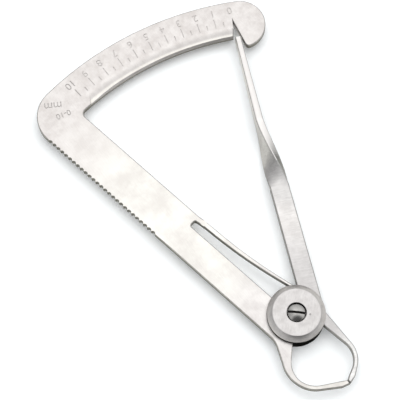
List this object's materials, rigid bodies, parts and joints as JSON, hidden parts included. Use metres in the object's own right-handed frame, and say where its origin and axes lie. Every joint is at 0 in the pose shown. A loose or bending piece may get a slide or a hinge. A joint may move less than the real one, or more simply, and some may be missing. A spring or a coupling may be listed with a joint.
{
  "type": "wax caliper",
  "caption": "Spring caliper for wax thickness: a flat frame with a graduated sector, a twisted pointer lever on a screwed disc pivot, curved beak jaws and a leaf spring cut from the frame.",
  "frame": {"origin": "the pivot axis on the underside of the back disc", "axes": "+Y along the handle arm from the pivot to the scale sector, +Z out of the scale face along the pivot screw, +X from the arm towards the pointer lever"},
  "size_m": [0.0596, 0.0932, 0.0063],
  "materials": {
    "plate_steel": "satin ground sheet",
    "lever_steel": "satin, cross ground",
    "disc_steel": "turned, fine",
    "bush_steel": "turned, plain",
    "screw_steel": "dark, lightly worn"
  },
  "bodies": {
    "frame": {"frame_plate": "plate_steel", "front_disc": "disc_steel", "back_disc": "disc_steel", "pivot_bush": "bush_steel", "pivot_screw": "screw_steel"},
    "lever": {"pointer_lever": "lever_steel"},
    "leaf": {"spring_leaf": "plate_steel"}
  },
  "joints": [
    {"name": "lever_pivot", "type": "hinge", "parent": "frame", "child": "lever", "pos_m": [0, 0, 0.00285], "axis": [0, 0, 1], "range_deg": [0, 32.25], "stiffness_Nm_per_rad": 0.08, "springref_deg": -17.19},
    {"name": "leaf_flex", "type": "hinge", "parent": "frame", "child": "leaf", "pos_m": [0.00183, 0.02821, 0.00285], "axis": [0, 0, 1], "range_deg": [-7.6, 0]}
  ],
  "couplings": [
    {"joint": "leaf_flex", "follows": "lever_pivot", "ratio": -0.235}
  ]
}
